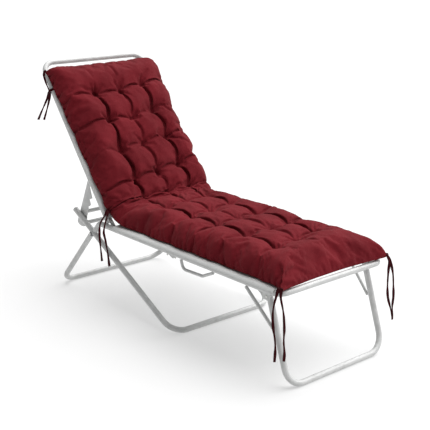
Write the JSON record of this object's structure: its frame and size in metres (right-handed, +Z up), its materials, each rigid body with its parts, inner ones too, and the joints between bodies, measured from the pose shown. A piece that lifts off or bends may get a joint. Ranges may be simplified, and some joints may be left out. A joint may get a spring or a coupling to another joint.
{
  "type": "tufted lounger cushion on a folding sun lounger frame",
  "caption": "Long tufted cushion, bent once between seat and raised back, tied by its corner tapes to a plain folding tube sun lounger with a stretched sling under it.",
  "frame": {"origin": "on the floor, under the middle of the lounger", "axes": "+Y towards the head end along the lounger, +X to the right of someone standing at the foot and facing the head, +Z up"},
  "size_m": [0.6926, 1.6776, 1.0675],
  "materials": {
    "cushion_cotton": "dark red woven cotton, soft and matt",
    "tie_tape": "dark red folded cotton tape",
    "sling_cloth": "pale grey woven sling cloth",
    "painted_tube": "pale grey satin paint"
  },
  "bodies": {
    "root": {"cushion": "cushion_cotton", "seat_sling": "sling_cloth", "back_sling": "sling_cloth", "seat_rail_left": "painted_tube", "seat_rail_right": "painted_tube", "foot_bar": "painted_tube", "back_rail_left": "painted_tube", "back_rail_right": "painted_tube", "top_bar": "painted_tube", "front_leg_left": "painted_tube", "front_leg_right": "painted_tube", "front_leg_floor_bar": "painted_tube", "middle_leg_left": "painted_tube", "middle_leg_right": "painted_tube", "middle_leg_floor_bar": "painted_tube", "rear_leg_left": "painted_tube", "rear_leg_right": "painted_tube", "rear_leg_floor_bar": "painted_tube", "ratchet_plate_left": "painted_tube", "ratchet_plate_right": "painted_tube", "hinge_plate_left": "painted_tube", "hinge_plate_right": "painted_tube", "break_plate_left": "painted_tube", "break_plate_right": "painted_tube", "leg_bracket_left": "painted_tube", "leg_bracket_right": "painted_tube", "brace_rod_left": "painted_tube", "brace_rod_right": "painted_tube", "under_loop_left": "painted_tube", "under_loop_right": "painted_tube", "stop_bar_upper": "painted_tube", "stop_bar_lower": "painted_tube", "tie_foot_left_a": "tie_tape", "tie_foot_left_b": "tie_tape", "tie_foot_right_a": "tie_tape", "tie_foot_right_b": "tie_tape", "tie_middle_left_a": "tie_tape", "tie_middle_left_b": "tie_tape", "tie_middle_right_a": "tie_tape", "tie_middle_right_b": "tie_tape", "tie_head_left_a": "tie_tape", "tie_head_left_turn": "tie_tape", "tie_head_left_knot": "tie_tape", "tie_head_left_tail_a": "tie_tape", "tie_head_left_tail_b": "tie_tape", "tie_head_right_a": "tie_tape", "tie_head_right_turn": "tie_tape", "tie_head_right_knot": "tie_tape", "tie_head_right_tail_a": "tie_tape", "tie_head_right_tail_b": "tie_tape"}
  },
  "joints": []
}
